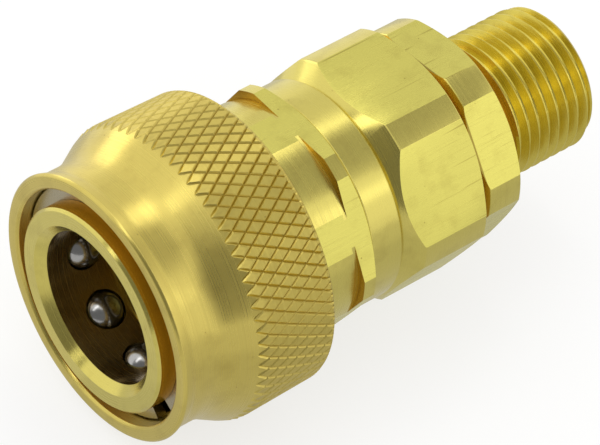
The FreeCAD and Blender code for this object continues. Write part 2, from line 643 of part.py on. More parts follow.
def male_adapter():
    """Smaller hexagon with the male thread, screwed into the valve body."""
    body = new_body("male_adapter")
    hexagon_stock(body, "adapter_width", ADAPTER_FRONT, THREAD_END, "adapter_turn")
    neck_rear = f"({ADAPTER_REAR} + thread_neck_length)"
    chamfered = f"({ADAPTER_CORNER} - adapter_edge * sqrt(3))"
    thread_edge = "(thread_radius - thread_chamfer)"
    turn_outline(body, "Groove", "outside", (
        (ADAPTER_FRONT, "adapter_spigot_radius"),
        (VALVE_BODY_REAR, "adapter_spigot_radius"),
        (VALVE_BODY_REAR, chamfered),
        (f"{VALVE_BODY_REAR} + adapter_edge", ADAPTER_CORNER),
        (f"{ADAPTER_REAR} - adapter_edge", ADAPTER_CORNER),
        (ADAPTER_REAR, chamfered),
        (ADAPTER_REAR, THREAD_NECK),
        (neck_rear, THREAD_NECK),
        (f"{neck_rear} + thread_neck_depth", "thread_radius"),
        (f"{THREAD_END} - thread_chamfer", "thread_radius"),
        (THREAD_END, thread_edge),
        (THREAD_END, "adapter_width"),
        (ADAPTER_FRONT, "adapter_width"),
    ))
    turn_outline(body, "Groove", "inside", (
        (ADAPTER_FRONT, "0"),
        (ADAPTER_FRONT, "flow_radius"),
        (f"{THREAD_END} - flow_chamfer", "flow_radius"),
        (THREAD_END, "flow_radius + flow_chamfer"),
        (THREAD_END, "0"),
    ))
    # the thread as rings at its pitch, the last crest against the end chamfer
    rear = f"({THREAD_END} - thread_chamfer - thread_crest)"
    front = f"({rear} - thread_pitch + thread_crest)"
    flank = "((thread_pitch - thread_crest - thread_root) / 2)"
    root = "(thread_radius - thread_depth)"
    cut = turn_outline(body, "Groove", "thread", (
        (front, "thread_radius + thread_depth"),
        (front, "thread_radius"),
        (f"{front} + {flank}", root),
        (f"{rear} - {flank}", root),
        (rear, "thread_radius"),
        (rear, "thread_radius + thread_depth"),
    ))
    room = "(shank_length - thread_neck_length - thread_chamfer)"
    repeat_along(body, cut, cut.Profile[0], "thread_pitch", f"floor({room} / thread_pitch)")
    return body


def build_parts():
    """Build every piece and return them in order from the mouth."""
    parts = [socket_body(), release_sleeve(), retaining_ring()]
    parts += locking_balls()
    parts += mouth_seals()
    middle = f"{NECK} + sleeve_clearance / 2 + sleeve_wire / 2"
    parts.append(coil_spring(
        "sleeve_spring", "sleeve_wire", middle, SPRING_FRONT, SPRING_REAR, "sleeve_spring_turns"))
    parts.append(valve_poppet())
    parts.append(round_ring(
        "poppet_seal", POPPET_SEAL, "poppet_seal_section", poppet_seal_station()))
    parts.append(coil_spring(
        "poppet_spring", "poppet_wire", "poppet_spring_radius", HEAD_REAR, SPIGOT_END,
        "poppet_spring_turns"))
    parts.append(poppet_guide())
    parts.append(valve_body())
    parts.append(round_ring(
        "body_seal", f"{BODY_SEAL_FLOOR} + seal_gap + body_seal_section / 2", "body_seal_section",
        f"{JOINT_FACE} + body_seal_offset"))
    parts.append(flat_ring(
        "adapter_seal", OUTLET, "adapter_spigot_radius", OUTLET_REAR, ADAPTER_FRONT))
    parts.append(male_adapter())
    return parts


def check_document(parts):
    """Stop if any object failed or any piece is empty or broken."""
    document.recompute()
    for item in document.Objects:
        if "Invalid" in item.State or "Error" in item.State:
            raise RuntimeError(f"{item.Name} failed: {item.State}")
    for part in parts:
        if part.Shape.isNull() or not part.Shape.isValid():
            raise RuntimeError(f"{part.Label} has no valid shape")
        if len(part.Shape.Solids) != 1:
            raise RuntimeError(f"{part.Label} is not one solid")


def write_parts(parts):
    """Write each piece to its own file."""
    os.makedirs("parts", exist_ok=True)
    for part in parts:
        part.Shape.exportStep(f"parts/{part.Label}.step")
        box = part.Shape.BoundBox
        print(f"{part.Label}: volume {part.Shape.Volume:.1f}, x {box.XMin:.2f} to {box.XMax:.2f}")


pieces = build_parts()
check_document(pieces)
write_parts(pieces)
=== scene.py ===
import json
import math

import bmesh
import bpy
from mathutils import Matrix, Vector


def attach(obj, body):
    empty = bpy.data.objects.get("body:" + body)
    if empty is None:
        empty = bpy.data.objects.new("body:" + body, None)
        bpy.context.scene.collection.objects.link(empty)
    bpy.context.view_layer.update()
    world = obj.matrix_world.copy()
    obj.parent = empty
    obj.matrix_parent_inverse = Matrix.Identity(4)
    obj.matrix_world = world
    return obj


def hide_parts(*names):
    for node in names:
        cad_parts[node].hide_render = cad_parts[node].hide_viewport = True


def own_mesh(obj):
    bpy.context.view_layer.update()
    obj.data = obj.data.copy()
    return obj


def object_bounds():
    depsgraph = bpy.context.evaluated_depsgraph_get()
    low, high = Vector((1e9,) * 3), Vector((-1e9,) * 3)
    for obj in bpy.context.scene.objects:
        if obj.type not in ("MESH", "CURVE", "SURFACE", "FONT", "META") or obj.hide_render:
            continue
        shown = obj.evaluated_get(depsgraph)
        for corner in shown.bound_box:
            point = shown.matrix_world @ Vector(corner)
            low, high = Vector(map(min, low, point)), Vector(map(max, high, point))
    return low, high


bl_info = {
    "name": "Ball-lock coupling socket",
    "version": (1, 0, 0),
    "blender": (4, 5, 0),
    "location": "View3D > Sidebar > Coupling",
    "description": "Dresses the brass coupling socket and sets its picture stage",
    "category": "Object",
}

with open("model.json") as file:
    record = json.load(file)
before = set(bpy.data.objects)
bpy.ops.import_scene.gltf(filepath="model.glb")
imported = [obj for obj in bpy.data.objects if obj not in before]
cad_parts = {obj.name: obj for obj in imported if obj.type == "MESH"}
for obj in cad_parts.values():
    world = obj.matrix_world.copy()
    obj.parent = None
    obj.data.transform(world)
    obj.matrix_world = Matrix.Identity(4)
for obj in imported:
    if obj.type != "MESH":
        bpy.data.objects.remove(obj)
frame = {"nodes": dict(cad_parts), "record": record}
CAD_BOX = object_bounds()

MM = 0.001
AXIS = Vector((1, 0, 0))
TURN = 2 * math.pi

# Lengths are in millimetres. A station is a place along the axis, counted from the mouth.
# how close counts as the same: at a station, in a finished piece, in one spin, on a cutting plane
NEAR = 0.01
MERGE = 0.004
FINE_MERGE = 0.0005
ON_PLANE = 0.00001
# edges over the first angle are shaded sharp, and over the second are broken
SMOOTH_ANGLE = math.radians(14)
CRISP_ANGLE = math.radians(8)
# a slanting direction, in which no two points of a ring lie level
ORDER = Vector((1, 0.618, 0.271))

# The barrel is a round crest in front and a slight taper behind it.
KNURL_FRONT = 9.09
KNURL_REAR = 19.05
CREST_CENTRE = (10.69, 13.87)
CREST_RADIUS = 3.5
BARREL_FRONT = (9.79, 17.39)
BARREL_SLOPE = -0.0216
# painted groove shade and matt tops fade in over this stretch behind the knurl's front edge
KNURL_FADE = (0.2, 1.6)
# steps of the smooth flare for each column of the knurl
FLARE_STEPS = 4
# the barrel's rear edge, as (station, radius)
SLEEVE_REAR = 19.5
SLEEVE_EDGE = ((19.3, 17.08), (19.46, 16.9), (SLEEVE_REAR, 16.66), (SLEEVE_REAR, 15.5))

# Sections are corners as (station, radius, length of the corner's rounding).
SLEEVE_SECTION = (
    # the flare from the knurl down to the band, and the rim
    (8.997, 16.95, 0), (5.76, 15.15, 1.166), (2.3, 15.15, 0.3), (0.9, 15.6, 0.12), (0.6, 15.3, 0.12),
    # inside: the mouth, the relief for the balls, the locking land, the flange and the spring's room
    (0.6, 14.05, 0.08), (0.9, 13.75, 0.08), (3.65, 13.75, 0), (3.65, 13.38, 0.06), (5.0, 12.95, 0.1),
    (8.4, 12.95, 0), (8.4, 12.06, 0.06), (10.0, 12.06, 0.06), (10.0, 13.65, 0), (SLEEVE_REAR, 13.65, 0.12),
    (SLEEVE_REAR, 15.0, 0),
)
SEAM_FRONT = 43.6
VALVE_SECTION = (
    # the round collar, the groove behind it and the hexagon over its corners
    (28.0, 10.5, 0), (28.0, 13.0, 0.2), (32.05, 13.0, 0.15), (32.05, 12.4, 0), (32.25, 12.4, 0),
    (34.22, 14.37, 0.15), (42.75, 14.37, 0.08), (SEAM_FRONT, 12.9, 0.08),
    # inside: the bore for the adapter, the valve seat and the bore for the socket body
    (SEAM_FRONT, 9.2, 0), (36.6, 9.2, 0), (36.6, 7.2, 0), (35.0, 7.2, 0), (35.0, 10.5, 0),
)
VALVE_STEPS = 180
# stations between which the larger hexagon's edges are broken
VALVE_CRISP = (32.6, 43.65)
OUTLET_RADIUS = 5.4
OUTLET_CHAMFER = 0.5
# the bore's open ends, one in the spun section and one in the threaded shank
SPUN_BORE_REAR = 50.6
SHANK_BORE_FRONT = 50.9
NECK_RADIUS = 7.6
NECK_FRONT = 49.65
ADAPTER_SECTION = (
    # the bore, the spigot inside the valve body, the hexagon over its corners and the neck
    (SPUN_BORE_REAR, OUTLET_RADIUS, 0), (37.2, OUTLET_RADIUS, 0.1), (37.2, 9.1, 0.15),
    (SEAM_FRONT, 9.1, 0), (SEAM_FRONT, 11.51, 0.06), (44.5, 13.07, 0.12), (48.75, 13.07, 0.12),
    (NECK_FRONT, 11.51, 0.06), (NECK_FRONT, NECK_RADIUS, 0.12), (50.8, NECK_RADIUS, 0),
)
ADAPTER_STEPS = 144

THREAD_FRONT = 51.25
THREAD_REAR = 63.9
THREAD_CHAMFER = 0.74
THREAD_STEPS = 72
# turns wound ahead of the thread's front, and spare turns in all, which are cut off again
THREAD_RUN_IN = 1.5
THREAD_SPARE = 3
# one groove of the thread as (share of the pitch, share of the depth)
THREAD_GROOVE = (
    (0, 0), (0.05, 0), (0.18, 0.36), (0.31, 0.72), (0.4, 0.93), (0.5, 1), (0.55, 1), (0.65, 0.93),
    (0.74, 0.72), (0.87, 0.36), (1, 0),
)
# where the spun section and the threaded shank have open ends to be joined
JOIN_STATIONS = (50.5, 51.3)
JOIN_REACH = 0.5

# Faces that carry painted shade, as first and last station, then inner and outer radius.
SEAM_SHADE = (43.5, 44.4, 6.0, 12.9)
NECK_SHADE = (49.6, 52.5, 6.0, 8.4)
# the thread's flanks carry painted reflection from a little inside its root to a little under its crest
FLANK_REACH = 0.1
CREST_REACH = 0.04
# faces of the socket body are told by these sizes, and by how far a face leans or lies off
WRENCH_FLAT = 13.1
NOSE_RADIUS = 11.94
NOSE_REACH = 0.1
COLLAR_FRONT = 25.65
FACING = 0.9
LEVEL = 0.001
FLUSH = 0.02

# Springs are piece, node and joint, then front, rear and seat as stations, and the coil's radius.
SPRINGS = (
    ("sleeve_coil", "sleeve_spring", "sleeve_slide", 10.05, 18.55, 18.6, 12.125),
    ("poppet_coil", "poppet_spring", "poppet_slide", 19.05, 33.45, 33.5, 5.0),
)
WIRE_SIDES = 12
COIL_STEPS = 48

# Spacing of the marks on brass. Real tool marks are finer, and are drawn coarser so that they show.
LATHE_RINGS = 0.125
BAR_LINES = 0.2
BAR_SCRATCHES = 0.3846
PATCHES = 2.857
SPECKS = 1.111
# how little the bar's lines change along it, against across it
BAR_STRETCH = 0.03
# depth of tool marks and moulded grain, and how far a grain spreads the roughness of plain metal
RELIEF = 0.02
GRAIN_SPREAD = 0.4
# middle of the oil that has crept out of the seam onto the smaller hexagon's flats
CREEP = 44.05

# Places on the stage are in metres, and bearings in degrees round the middle of the coupling.
MIDDLE = Vector((0.032, 0, 0))
LAMP_DISTANCE = 0.28
CARD_DISTANCE = 0.3
FLOOR_GAP = 0.00005
FLOOR_SIZE = 6.0
# share of plain white in the paper as it is seen
PAPER_GLOW = 0.7
# brightness of the white surroundings, as light and as they are seen
SKY_LIGHT = 1.05
SKY_SEEN = 1.0
TABLE_PLACE = Vector((0.03, -0.07, 0.0001))
SHADE_PLACE = Vector((0.035, -0.025, 0.0002))
WHITE = (1, 1, 1, 1)
CAMERA_PLACE = Vector((-0.201014, -0.245614, 0.339643))
CAMERA_RIGHT = Vector((0.77703, -0.62523, 0.07283))
CAMERA_AHEAD = Vector((0.47831, 0.51127, -0.71402))
SENSOR_WIDTH = 36.0
CLIP = (0.01, 20.0)


def linear(code):
    """Turn an sRGB hex colour into linear red, green, blue."""
    parts = [int(code[k:k + 2], 16) / 255 for k in (0, 2, 4)]
    return tuple(c / 12.92 if c <= 0.04045 else ((c + 0.055) / 1.055) ** 2.4 for c in parts)


def colour(code, name, description):
    """Colour property from an sRGB hex value."""
    return bpy.props.FloatVectorProperty(
        name=name, description=description, subtype="COLOR", size=3, min=0, max=1, default=linear(code))


def length(value, name, description):
    """Length property from millimetres."""
    return bpy.props.FloatProperty(
        name=name, description=description, unit="LENGTH", default=value * MM, min=0, precision=5)


def brightness(value, name, description):
    """Brightness property, where one is the white of the background."""
    return bpy.props.FloatProperty(name=name, description=description, default=value, min=0)


class CouplingSleeveSettings(bpy.types.PropertyGroup):
    """Knurl of the pull-back sleeve."""

    columns: bpy.props.IntProperty(
        name="Columns", description="Diamonds around the barrel", default=72, min=12)
    rows: bpy.props.IntProperty(
        name="Rows", description="Diamonds along the barrel before its rear edge is cut", default=4, min=1)
    row_length: length(2.62, "Row length", "Length of one diamond along the axis")
    phase: bpy.props.FloatProperty(
        name="Phase", description="First column, turned about the axis from +Y", subtype="ANGLE",
        default=math.radians(96.4))
    groove_width: length(0.36, "Groove width", "Width of a knurl groove at its top")
    groove_depth: length(0.2, "Groove depth", "Depth of a knurl groove")


class CouplingHexagonSettings(bpy.types.PropertyGroup):
    """Wrench hexagons of the valve body and the adapter."""

    valve_flats: length(26.3, "Valve body", "Width of the larger hexagon across its flats")
    adapter_flats: length(24.2, "Adapter", "Width of the smaller hexagon across its flats")
    adapter_turn: bpy.props.FloatProperty(
        name="Turn", description="Smaller hexagon, turned about the axis from the larger", subtype="ANGLE",
        default=math.radians(-6.1))
    edge: length(0.12, "Edge", "Width of the larger hexagon's broken edges")


class CouplingThreadSettings(bpy.types.PropertyGroup):
    """Male pipe thread of the adapter."""

    pitch: length(1.411, "Pitch", "Distance from crest to crest, eighteen to the inch")
    crest_radius: length(8.55, "Crest radius", "Radius over the crests")
    depth: length(0.95, "Depth", "Crest to root")


class CouplingSpringSettings(bpy.types.PropertyGroup):
    """Coils of the sleeve and the poppet."""

    wire: length(0.9, "Wire", "Thickness of the spring wire")
    sleeve_turns: bpy.props.FloatProperty(
        name="Sleeve turns", description="Turns of the coil behind the sleeve", default=3.4, min=1)
    poppet_turns: bpy.props.FloatProperty(
        name="Poppet turns", description="Turns of the coil behind the poppet", default=5.0, min=1)


class CouplingFinishSettings(bpy.types.PropertyGroup):
    """Colours of the finishes."""

    brass: colour("DECF6E", "Turned brass", "Brass off the lathe")
    sleeve: colour("DCC86A", "Sleeve brass", "Redder brass of the knurled sleeve")
    drawn: colour("DDD36C", "Drawn brass", "Flats left as the hexagon bar was drawn")
    # brown for handled spots, scratches and the seam's oil, and painted shade on the knurl's groove floors
    tarnish_and_groove_shade: colour("7E5F20", "Tarnish", "Brown film in grooves and on handled spots")
    # painted shade: amber for gaps, necks and the seam, where brass mirrors brass
    amber_shade: colour("C8A03A", "Filmed brass", "Amber oil film in necks and gaps")
    # painted reflection: deeper gold for the thread's flanks, which mirror each other
    cut: colour("DDCA5C", "Cut brass", "Thread flanks, wet with cutting oil")
    # painted reflection: orange for the nose, which mirrors the brass around it in the gap
    gap_reflection: colour("DBA524", "Oiled brass", "Nose under old oil, which is clouded and amber")
    # painted shade: the bore's brown stands for the shade inside it
    bore: colour("A98F55", "Darkened brass", "Bore darkened by oil and use")
    steel: colour("B4B3B0", "Polished steel", "Locking balls")
    # warmed with a painted reflection of the brass around the ring
    spring_steel: colour("B5AB8E", "Spring steel", "Retaining ring and springs")
    rubber: colour("1B1B1C", "Rubber", "Sealing rings")
    plastic: colour("E9E6DC", "White plastic", "Backing ring of the plug seal")
    copper: colour("C98B63", "Copper", "Sealing washer")


class CouplingStageSettings(bpy.types.PropertyGroup):
    """Floor, lamps and camera."""

    floor: colour("F9F9F8", "Floor", "Paper under the coupling")
    focal: bpy.props.FloatProperty(
        name="Lens", description="Focal length of the picture", default=264.7, min=1, unit="CAMERA")
    softbox: brightness(0.12, "Softbox", "What the softbox adds to the white behind it")
    core: brightness(0.6, "Core", "What the middle of the softbox adds to it")
    lamp: brightness(1.9, "Lamp", "What the lamp on the left adds to the white behind it")
    backlight: brightness(1.2, "Backlight", "What the lamp behind adds to the white behind it")
    skylight: brightness(0.1, "Skylight", "What the strip overhead adds to the white behind it")
    glint: brightness(1.7, "Glint", "What the lamp high over the thread adds to the white behind it")
    overhead: brightness(0.45, "Overhead", "The grey cloth overhead")
    wall: brightness(0.82, "Wall", "The wall behind the coupling")
    room: brightness(0.22, "Room", "The dark room on the camera's side")
    table: brightness(0.68, "Table", "The shaded table in front")
    # painted shade: the floor's shadow close under the coupling, as the metal mirrors it
    shade: brightness(0.57, "Shade", "The table close under the coupling")


def rounded_section(section):
    """Round the corners of an open section and return its points in order."""
    bm = bmesh.new()
    corners = [bm.verts.new((along, out, 0)) for along, out, _ in section]
    bm.faces.new(corners)
    for vert, (_, _, edge) in zip(corners, section):
        if edge:
            bmesh.ops.bevel(
                bm, geom=[vert], offset=edge, offset_type="OFFSET", segments=3, profile=0.5,
                affect="VERTICES", material=-1)
    bm.faces.ensure_lookup_table()
    points = [vert.co.copy() for vert in bm.faces[0].verts]
    bm.free()
    # start at the section's first corner and run towards its last
    start, end = Vector(section[0][:2]), Vector(section[-1][:2])
    first = min(range(len(points)), key=lambda k: (points[k].xy - start).length)
    points = points[first:] + points[:first]
    if (points[1].xy - end).length < (points[-1].xy - end).length:
        points = points[:1] + points[:0:-1]
    return points


def wire(bm, points, closed=False):
    """Add a chain of edges through the points."""
    verts = [bm.verts.new(point) for point in points]
    pairs = list(zip(verts, verts[1:]))
    if closed:
        pairs.append((verts[-1], verts[0]))
    return verts + [bm.edges.new(pair) for pair in pairs]


def spin(bm, geom, steps, angle=TURN, advance=0.0):
    """Turn a chain about the coupling's axis, with an advance along it at each step."""
    bmesh.ops.spin(
        bm, geom=geom, cent=(0, 0, 0), axis=AXIS, dvec=AXIS * advance, angle=angle, steps=steps,
        use_merge=not advance, use_normal_flip=False, use_duplicate=False)


def sort_mesh(bm):
    """Order a mesh by place: spin and extrude leave an order that differs from run to run."""
    bm.verts.sort(key=lambda vert: vert.co.dot(ORDER))
    bm.edges.sort(key=lambda edge: (edge.verts[0].co + edge.verts[1].co).dot(ORDER))
    bm.faces.sort(key=lambda face: face.calc_center_median().dot(ORDER))


def merge(bm, distance):
    """Merge the vertices that lie closer than a distance."""
    sort_mesh(bm)
    bmesh.ops.remove_doubles(bm, verts=bm.verts[:], dist=distance)


def cut_off(bm, place, normal):
    """Cut away what lies beyond a plane, and return the edges of the cut."""
    made = bmesh.ops.bisect_plane(
        bm, geom=bm.verts[:] + bm.edges[:] + bm.faces[:], dist=ON_PLANE, plane_co=place, plane_no=normal,
        clear_outer=True)
    return [item for item in made["geom_cut"] if isinstance(item, bmesh.types.BMEdge)]


def turn_to(verts, radius):
    """Set each vertex to the radius that a function gives for its station."""
    for vert in verts:
        out = vert.co.yz
        vert.co.yz = out * (radius(vert.co.x) / out.length)


def open_edges(bm, low, high):
    """Open edges between two stations."""
    return [edge for edge in bm.edges
            if edge.is_boundary and all(low <= vert.co.x <= high for vert in edge.verts)]


def open_rim(bm, station):
    """Open edges at a station."""
    return open_edges(bm, station - NEAR, station + NEAR)


def extrude_to(bm, edges, along, out):
    """Extrude an open loop to a station and radius, and return the new loop."""
    made = bmesh.ops.extrude_edge_only(bm, edges=edges)["geom"]
    verts = {item for item in made if isinstance(item, bmesh.types.BMVert)}
    for vert in verts:
        vert.co.x = along
    turn_to(verts, lambda _: out)
    return [item for item in made
            if isinstance(item, bmesh.types.BMEdge) and all(vert in verts for vert in item.verts)]


def mill_hexagon(bm, width, turn, finish):
    """Cut six flats on a turned shape and give them one of the piece's finishes."""
    for side in range(6):
        angle = turn + TURN / 12 + TURN / 6 * side
        normal = Vector((0, math.cos(angle), math.sin(angle)))
        rim = cut_off(bm, normal * width / 2, normal)
        for face in bmesh.ops.edgeloop_fill(bm, edges=rim)["faces"]:
            face.material_index = finish


def break_edges(bm, width, low, high):
    """Round the crisp edges between two stations."""
    crisp = [edge for edge in bm.edges
             if len(edge.link_faces) == 2 and edge.calc_face_angle(0) > CRISP_ANGLE
             and all(low <= vert.co.x <= high for vert in edge.verts)]
    bmesh.ops.bevel(
        bm, geom=crisp, offset=width, offset_type="OFFSET", segments=2, profile=0.5, affect="EDGES",
        clamp_overlap=True, material=-1)


def finish_band(bm, finish, low, high, near, far):
    """Give the faces between two stations and two radii one of their piece's finishes."""
    for face in bm.faces:
        middle = face.calc_center_median()
        if low < middle.x < high and near < middle.yz.length < far:
            face.material_index = finish


def finish_piece(bm, name, body, slot, materials, *nodes):
    """Close a millimetre mesh into a piece that stands for CAD nodes."""
    merge(bm, MERGE)
    bmesh.ops.recalc_face_normals(bm, faces=bm.faces[:])
    bmesh.ops.scale(bm, vec=(MM, MM, MM), verts=bm.verts[:])
    mesh = bpy.data.meshes.new(name)
    bm.to_mesh(mesh)
    bm.free()
    mesh.shade_smooth()
    mesh.set_sharp_from_angle(angle=SMOOTH_ANGLE)
    for material in materials:
        mesh.materials.append(finishes()[material])
    piece = bpy.data.objects.new(name, mesh)
    bpy.context.scene.collection.objects.link(piece)
    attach(piece, body)
    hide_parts(*nodes)
    return piece


def add(tree, kind, inputs=None, **settings):
    """Add a node with its settings, values and links."""
    made = tree.nodes.new(kind)
    for key, value in settings.items():
        setattr(made, key, value)
    for key, value in (inputs or {}).items():
        if isinstance(value, bpy.types.NodeSocket):
            tree.links.new(value, made.inputs[key])
        else:
            made.inputs[key].default_value = value
    return made


def new_material(name):
    """Add a material and return its node tree and its plain surface."""
    material = bpy.data.materials.new(name)
    material.use_nodes = True
    return material.node_tree, material.node_tree.nodes["Principled BSDF"]


def glowing_material(name, level):
    """Add a material that only glows."""
    material = bpy.data.materials.new(name)
    material.use_nodes = True
    tree = material.node_tree
    tree.nodes.clear()
    glow = add(tree, "ShaderNodeEmission", {"Color": WHITE, "Strength": level}).outputs[0]
    output = add(tree, "ShaderNodeOutputMaterial", {"Surface": glow})
    return material, tree, glow, output


def axis_coordinates(tree):
    """Place, its parts and its distance from the axis, in millimetres."""
    place = add(tree, "ShaderNodeTexCoord").outputs["Object"]
    size = add(tree, "ShaderNodeVectorMath", {0: place, "Scale": 1 / MM}, operation="SCALE").outputs[0]
    parts = add(tree, "ShaderNodeSeparateXYZ", {0: size}).outputs
    flat = add(tree, "ShaderNodeCombineXYZ", {"Y": parts["Y"], "Z": parts["Z"]}).outputs[0]
    out = add(tree, "ShaderNodeVectorMath", {0: flat}, operation="LENGTH").outputs["Value"]
    return size, parts, out


def handled_film(tree, size, lines):
    """Share of brown film from handling: patches, pin-head specks in some of them, and streaks."""
    cloud = add(tree, "ShaderNodeTexNoise", {
        "Vector": size, "Scale": 1 / PATCHES, "Detail": 4.0, "Roughness": 0.6}).outputs[0]
    patch = add(tree, "ShaderNodeMapRange", {
        "Value": cloud, "From Min": 0.5, "From Max": 0.8, "To Min": 0.0, "To Max": 0.22}).outputs[0]
    dots = add(tree, "ShaderNodeTexVoronoi", {
        "Vector": size, "Scale": 1 / SPECKS, "Randomness": 1.0}).outputs["Distance"]
    speck = add(tree, "ShaderNodeMapRange", {
        "Value": dots, "From Min": 0.05, "From Max": 0.09, "To Min": 0.75, "To Max": 0.0}).outputs[0]
    few = add(tree, "ShaderNodeMapRange", {
        "Value": cloud, "From Min": 0.52, "From Max": 0.6, "To Min": 0.0, "To Max": 1.0}).outputs[0]
    speck = add(tree, "ShaderNodeMath", {0: speck, 1: few}, operation="MULTIPLY").outputs[0]
    streak = add(tree, "ShaderNodeMapRange", {
        "Value": lines, "From Min": 0.62, "From Max": 0.78, "To Min": 0.0, "To Max": 0.3}).outputs[0]
    film = add(tree, "ShaderNodeMath", {0: patch, 1: speck}, operation="MAXIMUM").outputs[0]
    return add(tree, "ShaderNodeMath", {0: film, 1: streak}, operation="MAXIMUM").outputs[0]


def bar_film(tree, grain, along):
    """Share of brown film on a drawn bar: long scratches, and oil crept out of the seam."""
    long = add(tree, "ShaderNodeTexNoise", {
        "Vector": grain, "Scale": 1 / BAR_SCRATCHES, "Detail": 1.0}).outputs[0]
    scratch = add(tree, "ShaderNodeMapRange", {
        "Value": long, "From Min": 0.7, "From Max": 0.76, "To Min": 0.0, "To Max": 0.45}).outputs[0]
    away = add(tree, "ShaderNodeMath", {0: along, 1: CREEP}, operation="SUBTRACT").outputs[0]
    away = add(tree, "ShaderNodeMath", {0: away}, operation="ABSOLUTE").outputs[0]
    creep = add(tree, "ShaderNodeMapRange", {
        "Value": away, "From Min": 0.22, "From Max": 0.32, "To Min": 0.75, "To Max": 0.0}).outputs[0]
    return add(tree, "ShaderNodeMath", {0: scratch, 1: creep}, operation="MAXIMUM").outputs[0]


def knurl_shade_and_matt(tree, along, out, depth):
    """Share of painted shade in the knurl's grooves, browner with depth under the tops, and what the matt
    tops add to the roughness.
    """
    top = add(tree, "ShaderNodeMath", {
        0: along, 1: BARREL_SLOPE, 2: BARREL_FRONT[1] - BARREL_SLOPE * BARREL_FRONT[0]},
        operation="MULTIPLY_ADD").outputs[0]
    under = add(tree, "ShaderNodeMath", {0: top, 1: out}, operation="SUBTRACT").outputs[0]
    floor = add(tree, "ShaderNodeMapRange", {
        "Value": under, "From Min": 0.03, "From Max": depth, "To Min": 0.0, "To Max": 0.42}).outputs[0]
    matt = add(tree, "ShaderNodeMapRange", {
        "Value": under, "From Min": 0.02, "From Max": 0.08, "To Min": 0.22, "To Max": 0.08}).outputs[0]
    zone = add(tree, "ShaderNodeMapRange", {
        "Value": along, "From Min": KNURL_FRONT + KNURL_FADE[0],
        "From Max": KNURL_FRONT + KNURL_FADE[1]}).outputs[0]
    return [add(tree, "ShaderNodeMath", {0: zone, 1: value}, operation="MULTIPLY").outputs[0]
            for value in (floor, matt)]


def brass(name, shade, tarnish_and_groove_shade, roughness=(0.18, 0.3), drawn=False, groove=0.0, metal=1.0):
    """Brass with the marks of its making: rings from the lathe, or lines along a drawn bar."""
    tree, surface = new_material(name)
    size, parts, out = axis_coordinates(tree)
    if drawn:
        slow = add(tree, "ShaderNodeMath", {0: parts["X"], 1: BAR_STRETCH}, operation="MULTIPLY").outputs[0]
        across = {"X": parts["Y"], "Y": parts["Z"], "Z": slow}
    else:
        across = {"X": parts["X"], "Y": out}
    grain = add(tree, "ShaderNodeCombineXYZ", across).outputs[0]
    lines = add(tree, "ShaderNodeTexNoise", {
        "Vector": grain, "Scale": 1 / (BAR_LINES if drawn else LATHE_RINGS), "Detail": 3.0,
        "Roughness": 0.65}).outputs[0]
    stain_and_shade = handled_film(tree, size, lines)
    gloss = add(tree, "ShaderNodeMapRange", {
        "Value": lines, "From Min": 0.3, "From Max": 0.7,
        "To Min": roughness[0], "To Max": roughness[1]}).outputs[0]
    if drawn:
        film = bar_film(tree, grain, parts["X"])
        stain_and_shade = add(tree, "ShaderNodeMath", {0: stain_and_shade, 1: film}, operation="MAXIMUM").outputs[0]
    # painted shade: the knurl's groove floors grow browner with depth
    if groove:
        film, matt = knurl_shade_and_matt(tree, parts["X"], out, groove)
        stain_and_shade = add(tree, "ShaderNodeMath", {0: stain_and_shade, 1: film}, operation="MAXIMUM").outputs[0]
        gloss = add(tree, "ShaderNodeMath", {0: matt, 1: gloss}, operation="ADD").outputs[0]
    tint = add(tree, "ShaderNodeMix", {
        "Factor": stain_and_shade, "A": (*shade, 1), "B": (*tarnish_and_groove_shade, 1)}, data_type="RGBA").outputs["Result"]
    tree.links.new(tint, surface.inputs["Base Color"])
    tree.links.new(gloss, surface.inputs["Roughness"])
    relief = add(tree, "ShaderNodeBump", {
        "Height": lines, "Strength": 0.25, "Distance": RELIEF * MM}).outputs[0]
    tree.links.new(relief, surface.inputs["Normal"])
    surface.inputs["Metallic"].default_value = metal
    # marks around the axis or along it blur what the metal mirrors at right angles to them
    around = add(tree, "ShaderNodeTangent", direction_type="RADIAL", axis="X").outputs[0]
    tree.links.new(around, surface.inputs["Tangent"])
    surface.inputs["Anisotropic"].default_value = 0.8
    surface.inputs["Anisotropic Rotation"].default_value = 0.0 if drawn else 0.25


def plain_metal(name, shade, roughness, grain):
    """Metal of one colour with a fine even grain in its gloss."""
    tree, surface = new_material(name)
    size, _, _ = axis_coordinates(tree)
    noise = add(tree, "ShaderNodeTexNoise", {"Vector": size, "Scale": 1 / grain, "Detail": 4.0})
    gloss = add(tree, "ShaderNodeMapRange", {
        "Value": noise.outputs[0], "To Min": roughness * (1 - GRAIN_SPREAD),
        "To Max": roughness * (1 + GRAIN_SPREAD)})
    tree.links.new(gloss.outputs[0], surface.inputs["Roughness"])
    surface.inputs["Base Color"].default_value = (*shade, 1)
    surface.inputs["Metallic"].default_value = 1.0


def soft_material(name, shade, roughness, ior, grain):
    """Rubber or plastic with a fine moulded grain."""
    tree, surface = new_material(name)
    size, _, _ = axis_coordinates(tree)
    noise = add(tree, "ShaderNodeTexNoise", {"Vector": size, "Scale": 1 / grain, "Detail": 3.0})
    relief = add(tree, "ShaderNodeBump", {
        "Height": noise.outputs[0], "Strength": 0.2, "Distance": RELIEF * MM})
    tree.links.new(relief.outputs[0], surface.inputs["Normal"])
    surface.inputs["Base Color"].default_value = (*shade, 1)
    surface.inputs["Roughness"].default_value = roughness
    surface.inputs["IOR"].default_value = ior


